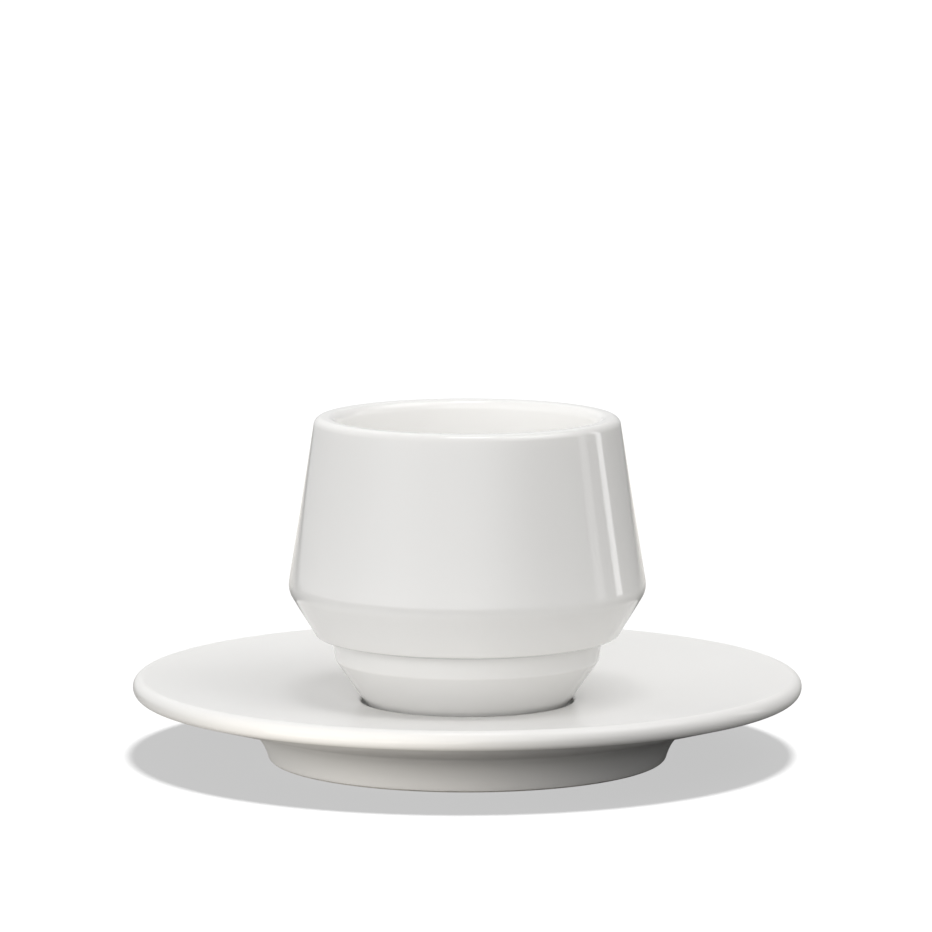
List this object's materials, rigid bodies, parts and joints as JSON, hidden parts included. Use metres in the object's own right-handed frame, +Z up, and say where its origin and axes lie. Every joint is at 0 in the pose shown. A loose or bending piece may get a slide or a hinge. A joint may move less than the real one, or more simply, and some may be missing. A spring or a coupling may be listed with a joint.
{
  "type": "espresso cup and saucer",
  "caption": "Handle-less thick-walled porcelain espresso cup with a belly crease and stepped-in foot, standing in the well of a round saucer on a flared foot ring.",
  "frame": {"origin": "centre of the saucer's foot ring, in the plane of the table", "axes": "+Z up along the common axis of the cup and the saucer, +X to the right and +Y away from the viewer of the picture"},
  "size_m": [0.12, 0.12, 0.0617],
  "materials": {
    "white_porcelain": "glossy white glaze, with a bare matt foot ring under each piece"
  },
  "bodies": {
    "saucer": {"saucer": "white_porcelain"},
    "cup": {"cup": "white_porcelain"}
  },
  "joints": [
    {"name": "cup_lift", "type": "slide", "parent": "saucer", "child": "cup", "axis": [0, 0, 1], "range_m": [0, 0.08]}
  ]
}
